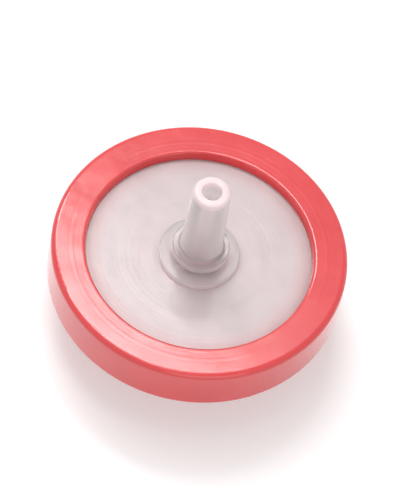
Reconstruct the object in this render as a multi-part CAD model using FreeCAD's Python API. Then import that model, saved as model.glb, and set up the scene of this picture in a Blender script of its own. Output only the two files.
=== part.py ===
import FreeCAD, Part
import math
import os

# Syringe filter for a 25 mm membrane: two housing halves with a membrane clamped
# between them, bound at the edge by an overmoulded ring.
# Millimetres. +Z is up, along the filter's axis. The filter stands on the end of its
# female inlet hub, and the origin is the centre of that end. The outlet points up.

# Membrane, and the places where the halves hold it
membrane_diameter = 25.0
membrane_thickness = 0.2
membrane_clearance = 0.05      # round the membrane's edge, in its seat
clamp_width = 1.1              # rim of the membrane that the halves pinch

# Housing halves: a round plate each, with a flange outside the membrane
plate_thickness = 1.8          # from the seam to the outer face
weld_width = 1.45              # where half meets half, outside the membrane
flange_step = 0.5              # how much the flange's edge is set back for the ring
flange_step_width = 1.1
chamber_depth = 0.5            # hollow below the membrane, in the inlet half
channel_depth = 0.5            # hollow above the membrane, in the outlet half

# Overmoulded ring
ring_wall = 2.0                # plastic outside the flanges
lip_width = 1.8                # how far each lip reaches in over the flanges
face_recess = 1.0              # depth of the faces below the ring's ends
ring_edge_radius = 0.6
lip_edge_radius = 0.3
lip_draft = 10.0               # degrees that each lip's inner wall leans back

# Female inlet hub, with a 6 % conical socket and two half-turn lock threads
hub_height = 7.0               # from the inlet face to the hub's end
hub_diameter = 6.7
hub_edge_radius = 0.2
skirt_spread = 1.25            # how far the skirt stands out from the hub, at the inlet face
skirt_height = 1.7
skirt_curve = 1.6
socket_diameter = 4.3          # at the mouth
socket_chamfer = 0.2
socket_floor = 0.8             # plastic between the socket and the chamber
throat_diameter = 2.0
luer_taper = 0.06              # change of diameter along each cone

# Lock threads on the hub
thread_height = 0.55           # from the hub to the crest
thread_lead = 5.0
thread_root_width = 1.4
thread_crest_width = 0.6
thread_starts = 2
thread_turn = 170.0            # degrees that each thread runs round the hub
thread_bite = 0.15             # overlap of thread and hub before they are fused

# Male outlet nozzle, on a collar, a neck and a low boss
nozzle_length = 10.3           # from the collar to the tip
tip_diameter = 3.97
tip_edge_radius = 0.35
nozzle_bore = 2.0
bore_chamfer = 0.15
foot_curve = 0.3               # where the nozzle meets the collar
collar_ledge = 0.8             # beyond the nozzle's foot
collar_height = 1.1
neck_setback = 0.45            # inside the collar
neck_height = 0.5
boss_ledge = 1.3               # beyond the collar
boss_height = 0.5
outlet_edge_radius = 0.15      # on the collar and the boss

# Ribs that spread the flow, and rings of rib that carry the membrane
inlet_rib_count = 8
inlet_rib_width = 0.6
inlet_rib_gap = 0.15           # from the rib to the membrane
inlet_rib_margin = 0.8         # clear of the throat and of the chamber's wall
support_rib_width = 0.6
support_rib_pitch = 2.4
support_rib_start = 1.0        # from the bore's wall to the first rib
channel_count = 6
channel_width = 0.9

# Radii that follow
membrane_radius = membrane_diameter / 2
seat_radius = membrane_radius + membrane_clearance
chamber_radius = membrane_radius - clamp_width
flange_radius = seat_radius + weld_width
step_radius = flange_radius - flange_step_width
ring_radius = flange_radius + ring_wall
window_radius = flange_radius - lip_width
lip_lean = face_recess * math.tan(math.radians(lip_draft))
hub_radius = hub_diameter / 2
skirt_radius = hub_radius + skirt_spread
crest_radius = hub_radius + thread_height
mouth_radius = socket_diameter / 2
throat_radius = throat_diameter / 2
tip_radius = tip_diameter / 2
foot_radius = tip_radius + nozzle_length * luer_taper / 2
bore_radius = nozzle_bore / 2
collar_radius = foot_radius + collar_ledge
neck_radius = collar_radius - neck_setback
boss_radius = collar_radius + boss_ledge

# Heights that follow
inlet_face_z = hub_height
seam_z = inlet_face_z + plate_thickness
outlet_face_z = seam_z + plate_thickness
ring_bottom_z = inlet_face_z - face_recess
ring_top_z = outlet_face_z + face_recess
chamber_floor_z = seam_z - chamber_depth
socket_floor_z = chamber_floor_z - socket_floor
membrane_top_z = seam_z + membrane_thickness
channel_roof_z = membrane_top_z + channel_depth
boss_top_z = outlet_face_z + boss_height
collar_bottom_z = boss_top_z + neck_height
collar_top_z = collar_bottom_z + collar_height
tip_z = collar_top_z + nozzle_length

AXIS_POINT = FreeCAD.Vector(0, 0, 0)
UP = FreeCAD.Vector(0, 0, 1)


def section_point(radius, height):
    """A point of a section, in the plane of +X and +Z."""
    return FreeCAD.Vector(radius, 0, height)


def corner_round(before, corner, after, radius):
    """Start, middle and end of the arc that rounds a corner."""
    back = (before - corner).normalize()
    ahead = (after - corner).normalize()
    half_angle = back.getAngle(ahead) / 2
    reach = radius / math.tan(half_angle)
    inward = (back + ahead).normalize()
    centre = corner + inward * (radius / math.sin(half_angle))
    return corner + back * reach, centre - inward * radius, corner + ahead * reach


def turned(corners):
    """Solid of revolution about Z. A corner is (radius, height) or (radius, height, rounding)."""
    points = [section_point(corner[0], corner[1]) for corner in corners]
    count = len(corners)
    arcs = []
    for i, corner in enumerate(corners):
        if len(corner) == 3:
            arcs.append(corner_round(points[i - 1], points[i], points[(i + 1) % count], corner[2]))
        else:
            arcs.append((points[i], None, points[i]))
    edges = []
    for i in range(count):
        start, middle, end = arcs[i]
        if middle is not None:
            edges.append(Part.Arc(start, middle, end).toShape())
        edges.append(Part.LineSegment(end, arcs[(i + 1) % count][0]).toShape())
    section = Part.Face(Part.Wire(edges))
    return section.revolve(AXIS_POINT, UP, 360)


def tube(outer, inner, height, bottom_z):
    """Plain tube about Z."""
    base = FreeCAD.Vector(0, 0, bottom_z)
    return Part.makeCylinder(outer, height, base).cut(Part.makeCylinder(inner, height, base))


def radial_bar(inner, outer, width, height, bottom_z, degrees):
    """Bar from one radius to another, turned about Z."""
    bar = Part.makeBox(outer - inner, width, height, FreeCAD.Vector(inner, -width / 2, bottom_z))
    bar.rotate(AXIS_POINT, UP, degrees)
    return bar


def lock_thread(degrees):
    """One half-turn of lock thread, from the hub's end towards the face."""
    inner = hub_radius - thread_bite
    crest_half = thread_crest_width / 2
    slope = (thread_root_width / 2 - crest_half) / thread_height
    inner_half = crest_half + slope * (crest_radius - inner)
    middle_z = thread_root_width / 2 + hub_edge_radius
    section = [
        section_point(inner, middle_z - inner_half),
        section_point(crest_radius, middle_z - crest_half),
        section_point(crest_radius, middle_z + crest_half),
        section_point(inner, middle_z + inner_half),
    ]
    profile = Part.makePolygon(section + section[:1])
    rise = thread_lead * thread_turn / 360
    path = Part.Wire(Part.makeHelix(thread_lead, rise, inner))
    thread = path.makePipeShell([profile], True, True)
    thread.rotate(AXIS_POINT, UP, degrees)
    return thread


def inlet_housing():
    """Plate with the female hub, the conical socket and the ribs below the membrane."""
    socket_end = mouth_radius - socket_floor_z * luer_taper / 2
    chamfer_end = mouth_radius - socket_chamfer * luer_taper / 2
    body = turned([
        (mouth_radius + socket_chamfer, 0),
        (hub_radius, 0, hub_edge_radius),
        (hub_radius, hub_height - skirt_height, skirt_curve),
        (skirt_radius, inlet_face_z),
        (step_radius, inlet_face_z),
        (step_radius, inlet_face_z + flange_step),
        (flange_radius, inlet_face_z + flange_step),
        (flange_radius, seam_z),
        (chamber_radius, seam_z),
        (chamber_radius, chamber_floor_z),
        (throat_radius, chamber_floor_z),
        (throat_radius, socket_floor_z),
        (socket_end, socket_floor_z),
        (chamfer_end, socket_chamfer),
    ])
    threads = [lock_thread(i * 360 / thread_starts) for i in range(thread_starts)]
    return body.fuse(threads + inlet_ribs()).removeSplitter()


def inlet_ribs():
    """Low radial ribs on the inlet half's inner face."""
    inner = throat_radius + inlet_rib_margin
    outer = chamber_radius - inlet_rib_margin
    height = chamber_depth - inlet_rib_gap
    step = 360 / inlet_rib_count
    return [
        radial_bar(inner, outer, inlet_rib_width, height, chamber_floor_z, i * step)
        for i in range(inlet_rib_count)
    ]


def outlet_housing():
    """Plate with the membrane's seat and support ribs, the boss, the collar and the nozzle."""
    body = turned([
        (seat_radius, seam_z),
        (flange_radius, seam_z),
        (flange_radius, outlet_face_z - flange_step),
        (step_radius, outlet_face_z - flange_step),
        (step_radius, outlet_face_z),
        (boss_radius, outlet_face_z),
        (boss_radius, boss_top_z, outlet_edge_radius),
        (neck_radius, boss_top_z),
        (neck_radius, collar_bottom_z),
        (collar_radius, collar_bottom_z, outlet_edge_radius),
        (collar_radius, collar_top_z, outlet_edge_radius),
        (foot_radius, collar_top_z, foot_curve),
        (tip_radius, tip_z, tip_edge_radius),
        (bore_radius + bore_chamfer, tip_z),
        (bore_radius, tip_z - bore_chamfer),
        (bore_radius, channel_roof_z),
        (chamber_radius, channel_roof_z),
        (chamber_radius, membrane_top_z),
        (seat_radius, membrane_top_z),
    ])
    return body.fuse(support_ribs()).removeSplitter()


def support_ribs():
    """Rings of rib above the membrane, cut through by radial channels."""
    first = bore_radius + support_rib_start
    room = chamber_radius - first - support_rib_width
    channels = [
        radial_bar(0, chamber_radius, channel_width, channel_depth, membrane_top_z, i * 360 / channel_count)
        for i in range(channel_count)
    ]
    rings = []
    for i in range(int(room / support_rib_pitch) + 1):
        inner = first + i * support_rib_pitch
        ring = tube(inner + support_rib_width, inner, channel_depth, membrane_top_z)
        rings.append(ring.cut(channels))
    return rings


def membrane():
    """Thin disc in its seat in the outlet half."""
    return Part.makeCylinder(membrane_radius, membrane_thickness, FreeCAD.Vector(0, 0, seam_z))


def overmould_ring():
    """Ring of C section that grips the flanges of both halves."""
    return turned([
        (ring_radius, ring_bottom_z, ring_edge_radius),
        (ring_radius, ring_top_z, ring_edge_radius),
        (window_radius + lip_lean, ring_top_z, lip_edge_radius),
        (window_radius, outlet_face_z),
        (step_radius, outlet_face_z),
        (step_radius, outlet_face_z - flange_step),
        (flange_radius, outlet_face_z - flange_step),
        (flange_radius, inlet_face_z + flange_step),
        (step_radius, inlet_face_z + flange_step),
        (step_radius, inlet_face_z),
        (window_radius, inlet_face_z),
        (window_radius + lip_lean, ring_bottom_z, lip_edge_radius),
    ])


os.makedirs("parts", exist_ok=True)
inlet_housing().exportStep("parts/inlet_housing.step")
outlet_housing().exportStep("parts/outlet_housing.step")
membrane().exportStep("parts/membrane.step")
overmould_ring().exportStep("parts/overmould_ring.step")
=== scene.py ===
import math

import bmesh
import bpy
from mathutils import Matrix, Quaternion, Vector


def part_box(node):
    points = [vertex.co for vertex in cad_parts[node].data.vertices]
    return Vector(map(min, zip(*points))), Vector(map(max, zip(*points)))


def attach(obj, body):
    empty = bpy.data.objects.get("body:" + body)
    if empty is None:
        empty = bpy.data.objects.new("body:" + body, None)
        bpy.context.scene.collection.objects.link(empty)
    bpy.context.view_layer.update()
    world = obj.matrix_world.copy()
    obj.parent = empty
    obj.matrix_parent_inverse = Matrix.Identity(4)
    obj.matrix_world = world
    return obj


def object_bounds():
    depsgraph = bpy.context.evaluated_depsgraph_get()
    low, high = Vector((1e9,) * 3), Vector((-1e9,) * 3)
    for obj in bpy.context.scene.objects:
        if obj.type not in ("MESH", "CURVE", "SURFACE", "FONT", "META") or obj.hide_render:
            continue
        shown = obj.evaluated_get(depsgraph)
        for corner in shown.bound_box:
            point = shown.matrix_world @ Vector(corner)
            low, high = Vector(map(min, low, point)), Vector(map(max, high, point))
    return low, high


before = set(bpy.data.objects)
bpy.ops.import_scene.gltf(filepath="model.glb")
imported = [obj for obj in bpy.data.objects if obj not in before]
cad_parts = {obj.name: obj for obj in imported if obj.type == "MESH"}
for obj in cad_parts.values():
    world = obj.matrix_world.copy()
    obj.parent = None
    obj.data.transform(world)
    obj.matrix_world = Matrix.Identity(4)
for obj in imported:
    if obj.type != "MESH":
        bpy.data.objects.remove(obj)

# Syringe filter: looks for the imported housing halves, membrane and overmoulded ring.
# Metres, in the frame's own axes. The filter stands on its inlet hub, outlet up.

MM = 0.001
CAD_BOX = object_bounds()

# Places read from the frame
RING_LOW, RING_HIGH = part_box("overmould_ring")
HUB_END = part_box("inlet_housing")[0].z
TIP_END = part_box("outlet_housing")[1].z

# Where the housing's look changes
CLEAR_FADE = 1.5 * MM          # over which the housing goes from milky to clear
END_FADE = 0.8 * MM            # over which it goes milky again, at the hub's end and the tip
RING_BAND = 3.8 * MM           # from the ring's outer wall in to its lip
LIP_RADIUS = RING_HIGH.x - RING_BAND
PAINTED_REFLECTION_REACH = 2.6 * MM         # how far in from the lip the plates carry a painted reflection of the ring's red

# Printed marks on the inlet face: a row of bars and a row of dots, along one arc
MARK_RADIUS = 9.7 * MM
MARK_HEIGHT = 2.0 * MM
SHORT_MARK_HEIGHT = 1.0 * MM
MARK_WIDTH = 0.4 * MM
DOT_WIDTH = 0.7 * MM
MARK_PITCH = 1.6 * MM
MARK_BARS = 6
MARK_DOTS = 5
MARK_GAP = 3.4 * MM            # from the last bar to the first dot
MARK_END_STEPS = 12            # points on each round end
INK_THICKNESS = 0.02 * MM

# Colours, in linear light. Noise takes each surface from its deep shade to its pale one.
RING_RED = (0.76, 0.040, 0.046)
RING_RED_DEEP = (0.71, 0.032, 0.038)
# The pink in these housing colours is painted red bounce light from the ring; the plastic itself is
# milky white.
HOUSING_WHITE = (0.87, 0.64, 0.657)
HOUSING_WHITE_DEEP = (0.83, 0.58, 0.597)
HOUSING_CLEAR = (0.985, 0.92, 0.927)
# painted reflection of the ring's red light on the plates next to its lip
HOUSING_PAINTED_RED_REFLECTION = (0.86, 0.42, 0.43)
INK_GREY = (0.050, 0.046, 0.048)
INK_GREY_WORN = (0.075, 0.068, 0.070)
MEMBRANE_WHITE = (0.90, 0.89, 0.88)
MEMBRANE_WHITE_DEEP = (0.84, 0.83, 0.82)
FLOOR_WHITE = (0.88, 0.88, 0.88)
FLOOR_WHITE_DEEP = (0.8712, 0.8712, 0.8712)

# Noise values between which a colour or another value changes
COLOUR_START = 0.35
COLOUR_END = 0.65
VALUE_START = 0.3
VALUE_END = 0.7

# Grain of the noise on each surface
RING_CLOUDS = 6 * MM
HOUSING_CLOUDS = 5 * MM
MEMBRANE_FIBRES = 0.25 * MM
INK_WEAR = 0.4 * MM
FLOOR_CLOUDS = 40 * MM

# Surface of the mouldings
WAVE_SIZE = 3.0 * MM
WAVE_DEPTH = 0.03 * MM
LINE_PITCH = 0.35 * MM
LINE_DEPTH = 0.006 * MM
PEEL_SIZE = 0.35 * MM
PEEL_DEPTH = 0.004 * MM

# Surface of the membrane and the ink
FIBRE_DEPTH = 0.02 * MM
WEAR_DEPTH = 0.004 * MM

# Roughness, from the lowest to the highest
RING_ROUGHNESS = (0.13, 0.17)
HOUSING_ROUGHNESS = (0.18, 0.25)
MEMBRANE_ROUGHNESS = (0.75, 0.9)
INK_ROUGHNESS = (0.50, 0.62)
FLOOR_ROUGHNESS = 0.9

# Gloss of the plastics, and the light that goes into them and comes out elsewhere
PLASTIC_IOR = 1.49
RING_COAT = 0.6
RING_COAT_ROUGHNESS = 0.12
RING_SCATTER = 0.15
RING_SCATTER_COLOURS = (1.0, 0.25, 0.2)      # how deep red, green and blue go, as shares
RING_SCATTER_DEPTH = 0.8 * MM
HOUSING_SCATTER = 1.0
HOUSING_SCATTER_COLOURS = (1.0, 1.0, 1.0)
HOUSING_SCATTER_DEPTH = 2.5 * MM

# How much of the light goes straight through the housing
PLATE_CLARITY = 0.04
NOZZLE_CLARITY = 0.75
EDGE_CLARITY = 0.15            # where the line of sight runs along the wall
EDGE_START = 0.35              # how far the wall turns away, from 0 to 1, as the edge begins
EDGE_END = 0.9

# Even light from all round: what falls on the filter, and what its gloss and clear parts show
SKY_LIGHT = 0.55
SKY_SEEN = 1.0

# Strip lamps: name, the two ends, width and power in watts
LAMPS = (
    ("key", (-0.32, 0.21, 0.32), (0.01, -0.06, 0.50), 0.10, 0.42),
    ("back", (-0.26, 0.24, 0.43), (-0.02, 0.18, 0.46), 0.12, 1.05),
    ("fill", (0.05, -0.43, 0.24), (0.40, -0.28, 0.24), 0.30, 0.35),
)

FLOOR_SIZE = 6.0
FLOOR_GLOW = 0.26              # light that it adds where it is seen, also in gloss or through plastic
WHITE_LIGHT = (1, 1, 1, 1)

# Angles in degrees, the lens in millimetres
CAMERA_AZIMUTH = 12.0
CAMERA_ELEVATION = 57.0
CAMERA_ROLL = 12.0             # the filter leans to the right in the frame
CAMERA_DISTANCE = 0.55
CAMERA_LENS = 370.0
CAMERA_NEAREST = 0.01          # nothing nearer than this is shown


def link_nodes(tree, from_node, from_socket, to_node, to_socket):
    """Joins two sockets by name or number."""
    tree.links.new(from_node.outputs[from_socket], to_node.inputs[to_socket])


def start_material(name):
    """An empty node material with a Principled shader, and its object coordinates."""
    material = bpy.data.materials.new(name)
    material.use_nodes = True
    tree = material.node_tree
    tree.nodes.clear()
    shader = tree.nodes.new("ShaderNodeBsdfPrincipled")
    output = tree.nodes.new("ShaderNodeOutputMaterial")
    place = tree.nodes.new("ShaderNodeTexCoord")
    link_nodes(tree, shader, "BSDF", output, "Surface")
    return material, tree, shader, place


def noise(tree, place, size, detail=4.0, roughness=0.55, distortion=0.0):
    """Noise whose grains are about size metres across."""
    node = tree.nodes.new("ShaderNodeTexNoise")
    node.inputs["Scale"].default_value = 1 / size
    node.inputs["Detail"].default_value = detail
    node.inputs["Roughness"].default_value = roughness
    node.inputs["Distortion"].default_value = distortion
    link_nodes(tree, place, "Object", node, "Vector")
    return node


def noise_colour(tree, noise_node, low, high):
    """Colour that runs from low to high as the noise rises."""
    ramp = tree.nodes.new("ShaderNodeValToRGB")
    ramp.color_ramp.elements[0].position = COLOUR_START
    ramp.color_ramp.elements[0].color = (*low, 1)
    ramp.color_ramp.elements[1].position = COLOUR_END
    ramp.color_ramp.elements[1].color = (*high, 1)
    link_nodes(tree, noise_node, "Fac", ramp, "Fac")
    return ramp


def value_range(tree, node, socket, low, high, start=VALUE_START, end=VALUE_END):
    """The node's value, spread from start and end to low and high."""
    spread = tree.nodes.new("ShaderNodeMapRange")
    spread.inputs["From Min"].default_value = start
    spread.inputs["From Max"].default_value = end
    spread.inputs["To Min"].default_value = low
    spread.inputs["To Max"].default_value = high
    link_nodes(tree, node, socket, spread, "Value")
    return spread


def combine(tree, operation, first, first_socket, second, second_socket):
    """The sum or product of two values."""
    node = tree.nodes.new("ShaderNodeMath")
    node.operation = operation
    link_nodes(tree, first, first_socket, node, 0)
    link_nodes(tree, second, second_socket, node, 1)
    return node


def tint(tree, amount, amount_socket, base, colour):
    """Colour that goes from the base's to another as the amount goes from 0 to 1."""
    mix = tree.nodes.new("ShaderNodeMixRGB")
    mix.inputs["Color2"].default_value = (*colour, 1)
    link_nodes(tree, amount, amount_socket, mix, "Fac")
    link_nodes(tree, base, "Color", mix, "Color1")
    return mix


def bump(tree, noise_node, depth, under=None):
    """Bump of a given depth in metres, on top of another bump if one is given."""
    node = tree.nodes.new("ShaderNodeBump")
    node.inputs["Distance"].default_value = depth
    link_nodes(tree, noise_node, "Fac", node, "Height")
    if under is not None:
        link_nodes(tree, under, "Normal", node, "Normal")
    return node


def height_over_origin(tree, place):
    """How high a point is, as the node's Z output."""
    node = tree.nodes.new("ShaderNodeSeparateXYZ")
    link_nodes(tree, place, "Object", node, "Vector")
    return node


def distance_from_axis(tree, place):
    """How far a point is from the filter's axis, as the node's Value output."""
    flat = tree.nodes.new("ShaderNodeVectorMath")
    flat.operation = "MULTIPLY"
    flat.inputs[1].default_value = (1, 1, 0)
    link_nodes(tree, place, "Object", flat, 0)
    radius = tree.nodes.new("ShaderNodeVectorMath")
    radius.operation = "LENGTH"
    link_nodes(tree, flat, "Vector", radius, 0)
    return radius


def turning_lines(tree, radius, height):
    """Uneven rings about the axis, as a turned mould leaves them on faces and walls."""
    along = combine(tree, "ADD", radius, "Value", height, "Z")
    lines = tree.nodes.new("ShaderNodeTexNoise")
    lines.noise_dimensions = "1D"
    lines.inputs["Scale"].default_value = 1 / LINE_PITCH
    lines.inputs["Detail"].default_value = 2.0
    link_nodes(tree, along, "Value", lines, "W")
    return lines


def moulded_surface(tree, place, radius, height):
    """Bump of a moulding: a slow wave, turning lines from the mould and a faint orange peel."""
    wave = bump(tree, noise(tree, place, WAVE_SIZE, detail=1.0), WAVE_DEPTH)
    lines = bump(tree, turning_lines(tree, radius, height), LINE_DEPTH, under=wave)
    return bump(tree, noise(tree, place, PEEL_SIZE, detail=2.0), PEEL_DEPTH, under=lines)


def scatter(shader, weight, colours, depth):
    """Light that goes into the plastic and comes out elsewhere."""
    shader.inputs["Subsurface Weight"].default_value = weight
    shader.inputs["Subsurface Radius"].default_value = colours
    shader.inputs["Subsurface Scale"].default_value = depth


def ring_material():
    """Coral-red moulded polypropylene, glossy."""
    material, tree, shader, place = start_material("ring_red")
    clouds = noise(tree, place, RING_CLOUDS)
    colour = noise_colour(tree, clouds, RING_RED_DEEP, RING_RED)
    roughness = value_range(tree, clouds, "Fac", *RING_ROUGHNESS)
    height = height_over_origin(tree, place)
    radius = distance_from_axis(tree, place)
    link_nodes(tree, colour, "Color", shader, "Base Color")
    link_nodes(tree, roughness, "Result", shader, "Roughness")
    link_nodes(tree, moulded_surface(tree, place, radius, height), "Normal", shader, "Normal")
    shader.inputs["IOR"].default_value = PLASTIC_IOR
    shader.inputs["Coat Weight"].default_value = RING_COAT
    shader.inputs["Coat Roughness"].default_value = RING_COAT_ROUGHNESS
    scatter(shader, RING_SCATTER, RING_SCATTER_COLOURS, RING_SCATTER_DEPTH)
    return material


def housing_clearness(tree, height, milky_z, clear_z, end_z):
    """How clear the housing is: 0 on the plate, 1 beyond clear_z, and 0 again at the end."""
    away = value_range(tree, height, "Z", 0.0, 1.0, milky_z, clear_z)
    end_fade_z = end_z - math.copysign(END_FADE, end_z - clear_z)
    before_end = value_range(tree, height, "Z", 1.0, 0.0, end_fade_z, end_z)
    return combine(tree, "MULTIPLY", away, "Result", before_end, "Result")


def housing_transmission(tree, clear):
    """Share of the light that goes through: the plate's, or in the clear parts the wall's."""
    facing = tree.nodes.new("ShaderNodeLayerWeight")
    wall = value_range(tree, facing, "Facing", NOZZLE_CLARITY, EDGE_CLARITY, EDGE_START, EDGE_END)
    through = tree.nodes.new("ShaderNodeMix")
    through.inputs["A"].default_value = PLATE_CLARITY
    link_nodes(tree, clear, "Value", through, "Factor")
    link_nodes(tree, wall, "Result", through, "B")
    return through


def housing_colour(tree, clouds, radius, clear):
    """Milky white, with a painted reflection of the ring's red light next to the ring, and nearly
    colourless in the clear parts.
    """
    milky = noise_colour(tree, clouds, HOUSING_WHITE_DEEP, HOUSING_WHITE)
    painted_reflection_mask = value_range(tree, radius, "Value", 0.0, 1.0, LIP_RADIUS - PAINTED_REFLECTION_REACH, LIP_RADIUS)
    painted_reflection_mask.interpolation_type = "SMOOTHSTEP"
    # painted red reflection of the ring, strongest at its lip
    painted_reflection = tint(tree, painted_reflection_mask, "Result", milky, HOUSING_PAINTED_RED_REFLECTION)
    return tint(tree, clear, "Value", painted_reflection, HOUSING_CLEAR)


def housing_material(name, milky_z, clear_z, end_z):
    """Natural polypropylene: milky on the plate, clearer up to the end, and milky again at the end."""
    material, tree, shader, place = start_material(name)
    clouds = noise(tree, place, HOUSING_CLOUDS)
    height = height_over_origin(tree, place)
    radius = distance_from_axis(tree, place)
    clear = housing_clearness(tree, height, milky_z, clear_z, end_z)
    roughness = value_range(tree, clouds, "Fac", *HOUSING_ROUGHNESS)
    link_nodes(tree, housing_transmission(tree, clear), "Result", shader, "Transmission Weight")
    link_nodes(tree, housing_colour(tree, clouds, radius, clear), "Color", shader, "Base Color")
    link_nodes(tree, roughness, "Result", shader, "Roughness")
    link_nodes(tree, moulded_surface(tree, place, radius, height), "Normal", shader, "Normal")
    shader.inputs["IOR"].default_value = PLASTIC_IOR
    scatter(shader, HOUSING_SCATTER, HOUSING_SCATTER_COLOURS, HOUSING_SCATTER_DEPTH)
    return material


def follow_noise(tree, shader, grain, low, high, roughness, depth):
    """Colour, roughness and bump that all follow one noise."""
    link_nodes(tree, noise_colour(tree, grain, low, high), "Color", shader, "Base Color")
    link_nodes(tree, value_range(tree, grain, "Fac", *roughness), "Result", shader, "Roughness")
    link_nodes(tree, bump(tree, grain, depth), "Normal", shader, "Normal")


def membrane_material():
    """White membrane, matt, with a fine fibrous grain."""
    material, tree, shader, place = start_material("membrane_white")
    fibres = noise(tree, place, MEMBRANE_FIBRES, detail=6.0, roughness=0.7, distortion=1.5)
    colours = (MEMBRANE_WHITE_DEEP, MEMBRANE_WHITE)
    follow_noise(tree, shader, fibres, *colours, MEMBRANE_ROUGHNESS, FIBRE_DEPTH)
    return material


def ink_material():
    """Dark grey pad print, matt, a little worn."""
    material, tree, shader, place = start_material("ink_grey")
    wear = noise(tree, place, INK_WEAR)
    follow_noise(tree, shader, wear, INK_GREY, INK_GREY_WORN, INK_ROUGHNESS, WEAR_DEPTH)
    return material


def by_ray(tree, seen, unseen):
    """One strength for rays from the camera, off gloss or through plastic; another for the rest."""
    path = tree.nodes.new("ShaderNodeLightPath")
    direct = combine(tree, "ADD", path, "Is Camera Ray", path, "Is Glossy Ray")
    either = combine(tree, "ADD", direct, "Value", path, "Is Transmission Ray")
    either.use_clamp = True
    strength = tree.nodes.new("ShaderNodeMath")
    strength.operation = "MULTIPLY_ADD"
    strength.inputs[1].default_value = seen - unseen
    strength.inputs[2].default_value = unseen
    link_nodes(tree, either, "Value", strength, 0)
    return strength


def floor_material():
    """Matt white. It glows a little for the camera, and keeps the filter's shadow."""
    material, tree, shader, place = start_material("floor_white")
    colour = noise_colour(tree, noise(tree, place, FLOOR_CLOUDS), FLOOR_WHITE_DEEP, FLOOR_WHITE)
    link_nodes(tree, colour, "Color", shader, "Base Color")
    shader.inputs["Roughness"].default_value = FLOOR_ROUGHNESS
    shader.inputs["Specular IOR Level"].default_value = 0.0
    shader.inputs["Emission Color"].default_value = WHITE_LIGHT
    link_nodes(tree, by_ray(tree, FLOOR_GLOW, 0.0), "Value", shader, "Emission Strength")
    return material


def dress_frame():
    """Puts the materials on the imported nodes. The inlet half clears below the ring, and the
    outlet half is clear from the ring's top up."""
    inlet_clear = RING_LOW.z - CLEAR_FADE
    outlet_milky = RING_HIGH.z - CLEAR_FADE
    looks = {
        "inlet_housing": housing_material("inlet_natural", RING_LOW.z, inlet_clear, HUB_END),
        "outlet_housing": housing_material("outlet_natural", outlet_milky, RING_HIGH.z, TIP_END),
        "membrane": membrane_material(),
        "overmould_ring": ring_material(),
    }
    for name, material in looks.items():
        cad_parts[name].data.materials[0] = material


def bar_outline(length, width):
    """Outline of a bar with round ends, along X, about the origin: a dot where both sizes agree."""
    radius = width / 2
    reach = length / 2 - radius
    outline = []
    for i in range(2 * MARK_END_STEPS):
        angle = math.pi * ((i + 0.5) / MARK_END_STEPS - 0.5)
        middle = math.copysign(reach, math.cos(angle))
        outline.append(Vector((middle + radius * math.cos(angle), radius * math.sin(angle), 0)))
    return outline


def add_mark(mesh, outline, radius, angle, face_z):
    """One printed mark, from just inside the face to the ink's thickness below it."""
    turn = Matrix.Rotation(angle, 4, "Z") @ Matrix.Translation((radius, 0, 0))
    rims = []
    for z in (face_z - INK_THICKNESS, face_z + INK_THICKNESS):
        rims.append([mesh.verts.new(turn @ point + Vector((0, 0, z))) for point in outline])
    low, high = rims
    mesh.faces.new(list(reversed(low)))
    mesh.faces.new(high)
    for i in range(len(outline)):
        mesh.faces.new((low[i - 1], low[i], high[i], high[i - 1]))


def make_marks():
    """Plain bars, long and short by turns, then dots, printed along an arc of the inlet face."""
    below = Vector((MARK_RADIUS, 0, HUB_END - MM))
    face_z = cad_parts["inlet_housing"].ray_cast(below, Vector((0, 0, 1)))[1].z
    mesh = bmesh.new()
    outer = MARK_RADIUS + MARK_HEIGHT / 2
    travel = 0.0
    for i in range(MARK_BARS):
        height = (MARK_HEIGHT, SHORT_MARK_HEIGHT)[i % 2]
        add_mark(mesh, bar_outline(height, MARK_WIDTH), outer - height / 2, travel / MARK_RADIUS, face_z)
        travel += MARK_PITCH
    travel += MARK_GAP - MARK_PITCH
    for i in range(MARK_DOTS):
        add_mark(mesh, bar_outline(DOT_WIDTH, DOT_WIDTH), MARK_RADIUS, travel / MARK_RADIUS, face_z)
        travel += MARK_PITCH
    data = bpy.data.meshes.new("inlet_marks")
    mesh.to_mesh(data)
    mesh.free()
    data.materials.append(ink_material())
    marks = bpy.data.objects.new("inlet_marks", data)
    bpy.context.scene.collection.objects.link(marks)
    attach(marks, "root")


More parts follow.
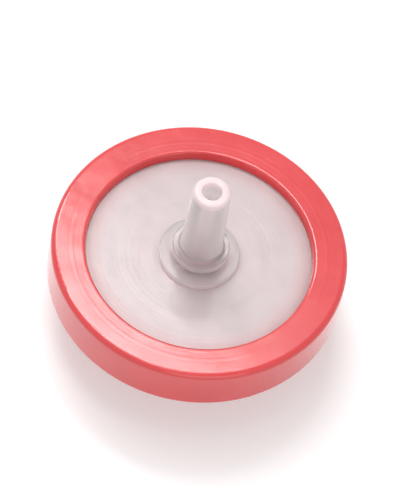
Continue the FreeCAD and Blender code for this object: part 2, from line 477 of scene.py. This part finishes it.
def make_floor():
    """Large plain floor at the hub's end."""
    bpy.ops.mesh.primitive_plane_add(size=FLOOR_SIZE, location=(0, 0, CAD_BOX[0].z))
    floor = bpy.context.object
    floor.name = "floor"
    floor.data.materials.append(floor_material())


def add_strip(name, start, end, width, target, power):
    """Strip lamp from one point to another, turned to face a third."""
    data = bpy.data.lights.new(name, "AREA")
    data.shape = "RECTANGLE"
    data.size = (end - start).length
    data.size_y = width
    data.energy = power
    lamp = bpy.data.objects.new(name, data)
    lamp.location = (start + end) / 2
    out = (lamp.location - target).normalized()
    across = out.cross(end - start).normalized()
    along = across.cross(out)
    lamp.rotation_euler = Matrix((along, across, out)).transposed().to_euler()
    bpy.context.scene.collection.objects.link(lamp)


def light_scene(target):
    """Soft studio light: a key strip that rises from the rear left to overhead, one behind the
    filter, a broad fill at the front right, and an even white surround."""
    for name, start, end, width, power in LAMPS:
        add_strip(name, Vector(start), Vector(end), width, target, power)
    world = bpy.data.worlds.new("studio")
    world.use_nodes = True
    background = world.node_tree.nodes["Background"]
    background.inputs["Color"].default_value = WHITE_LIGHT
    strength = by_ray(world.node_tree, SKY_SEEN, SKY_LIGHT)
    link_nodes(world.node_tree, strength, "Value", background, "Strength")
    bpy.context.scene.world = world


def make_camera(target):
    """Camera at the viewing angle, far off with a long lens."""
    azimuth = math.radians(CAMERA_AZIMUTH)
    elevation = math.radians(CAMERA_ELEVATION)
    back = Vector((
        math.sin(azimuth) * math.cos(elevation),
        -math.cos(azimuth) * math.cos(elevation),
        math.sin(elevation),
    ))
    data = bpy.data.cameras.new("camera")
    data.lens = CAMERA_LENS
    data.clip_start = CAMERA_NEAREST
    camera = bpy.data.objects.new("camera", data)
    camera.location = target + back * CAMERA_DISTANCE
    roll = Quaternion((0, 0, 1), math.radians(CAMERA_ROLL))
    camera.rotation_euler = ((-back).to_track_quat("-Z", "Y") @ roll).to_euler()
    bpy.context.scene.collection.objects.link(camera)
    bpy.context.scene.camera = camera


centre = (CAD_BOX[0] + CAD_BOX[1]) / 2
dress_frame()
make_marks()
make_floor()
light_scene(centre)
make_camera(centre)
bpy.context.scene.view_settings.view_transform = "Standard"
